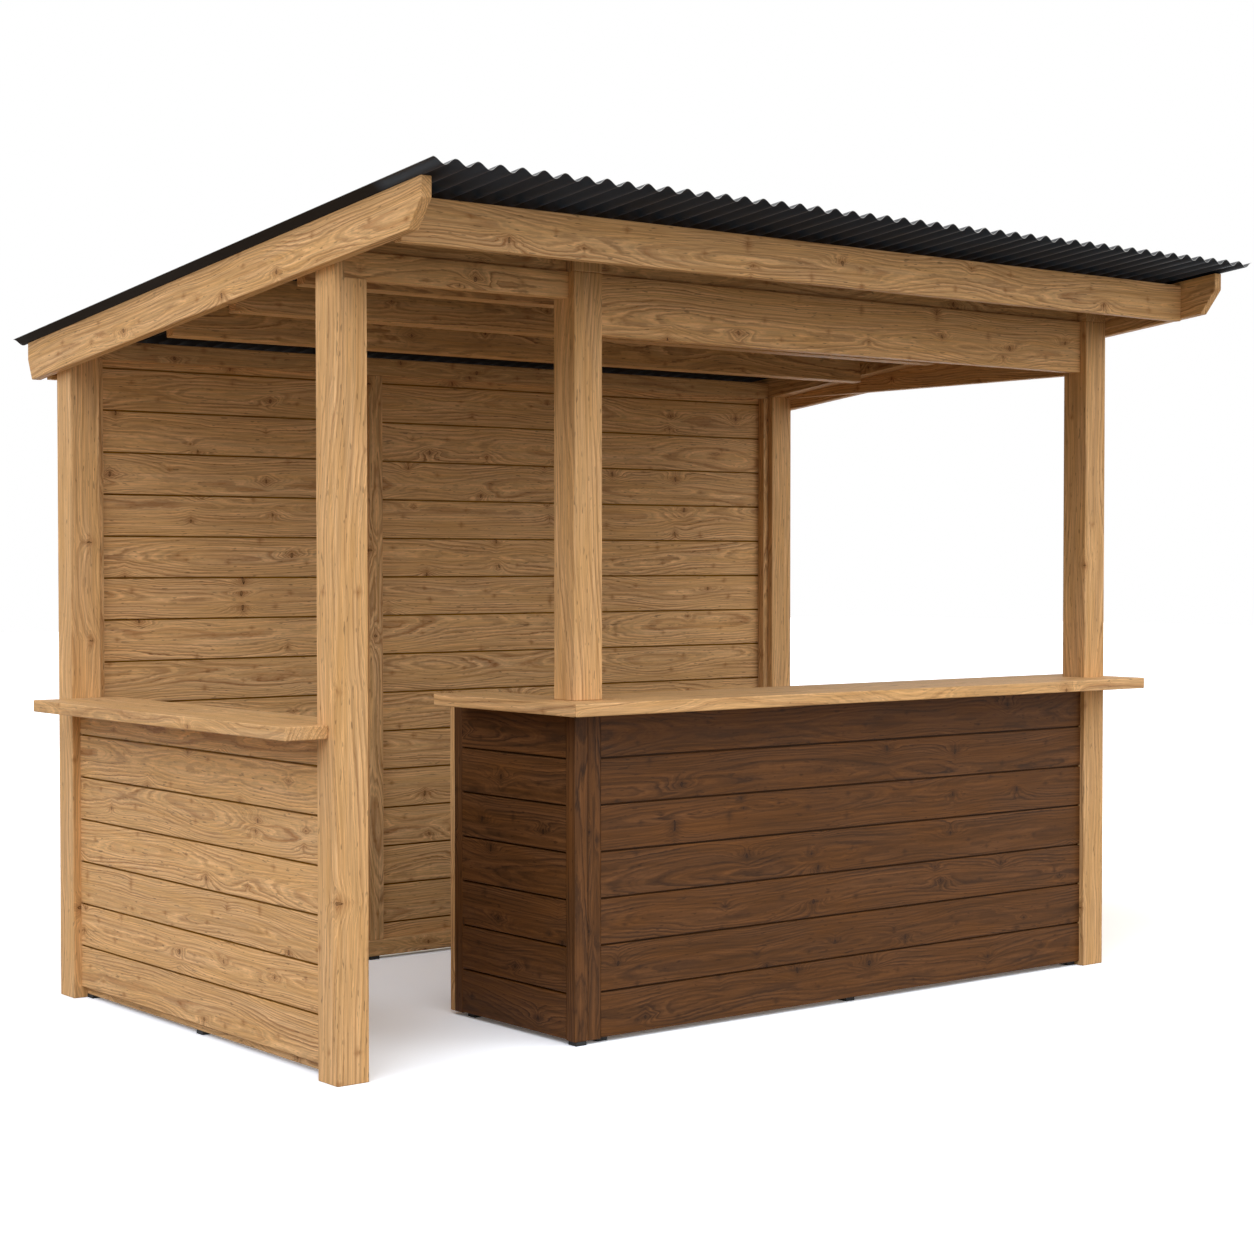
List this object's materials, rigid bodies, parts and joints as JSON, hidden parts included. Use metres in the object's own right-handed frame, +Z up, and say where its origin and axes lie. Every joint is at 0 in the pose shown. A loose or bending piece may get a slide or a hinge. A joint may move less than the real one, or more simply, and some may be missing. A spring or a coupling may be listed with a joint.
{
  "type": "outdoor garden bar",
  "caption": "Open-fronted timber garden bar with a lean-to corrugated roof, a stained bar counter, an entrance beside it, a boarded back wall and low side walls.",
  "frame": {"origin": "on the ground, in the middle of the plan", "axes": "+Z up, -Y out of the front over the bar counter, +X to the right as seen from the front"},
  "size_m": [3.459, 2.5872, 2.5027],
  "materials": {
    "oiled_timber": "planed and oiled softwood",
    "wall_boards": "planed and oiled softwood boards",
    "framing_timber": "planed and oiled softwood",
    "worktop_timber": "planed and oiled softwood",
    "stained_boards": "walnut stain, satin",
    "corrugated_steel": "satin anthracite coating",
    "pads": "matt"
  },
  "bodies": {
    "root": {"post_front_left": "oiled_timber", "post_front_middle": "oiled_timber", "post_front_right": "oiled_timber", "post_back_left": "oiled_timber", "post_back_right": "oiled_timber", "middle_post_cap": "oiled_timber", "entrance_header": "oiled_timber", "bar_header": "oiled_timber", "entrance_infill": "oiled_timber", "bar_infill": "oiled_timber", "side_header_right": "oiled_timber", "rafter_left": "oiled_timber", "rafter_right": "oiled_timber", "purlin_1": "oiled_timber", "purlin_2": "oiled_timber", "purlin_3": "oiled_timber", "front_fascia": "oiled_timber", "back_fascia": "oiled_timber", "barge_left": "oiled_timber", "barge_right": "oiled_timber", "roof_sheet_1": "corrugated_steel", "roof_sheet_2": "corrugated_steel", "roof_sheet_3": "corrugated_steel", "roof_sheet_4": "corrugated_steel", "roof_sheet_5": "corrugated_steel", "back_wall_boards": "wall_boards", "back_wall_frame": "framing_timber", "back_top_rail": "framing_timber", "left_wall_boards": "wall_boards", "left_wall_frame": "framing_timber", "left_shelf": "worktop_timber", "right_wall_boards": "wall_boards", "right_wall_frame": "framing_timber", "counter_top_front": "worktop_timber", "counter_top_return": "worktop_timber", "counter_front_boards": "stained_boards", "counter_front_frame": "framing_timber", "counter_end_boards": "stained_boards", "counter_end_frame": "framing_timber", "counter_corner_outer": "stained_boards", "counter_corner_inner": "stained_boards", "counter_back_batten": "stained_boards", "foot_pads": "pads"}
  },
  "joints": []
}
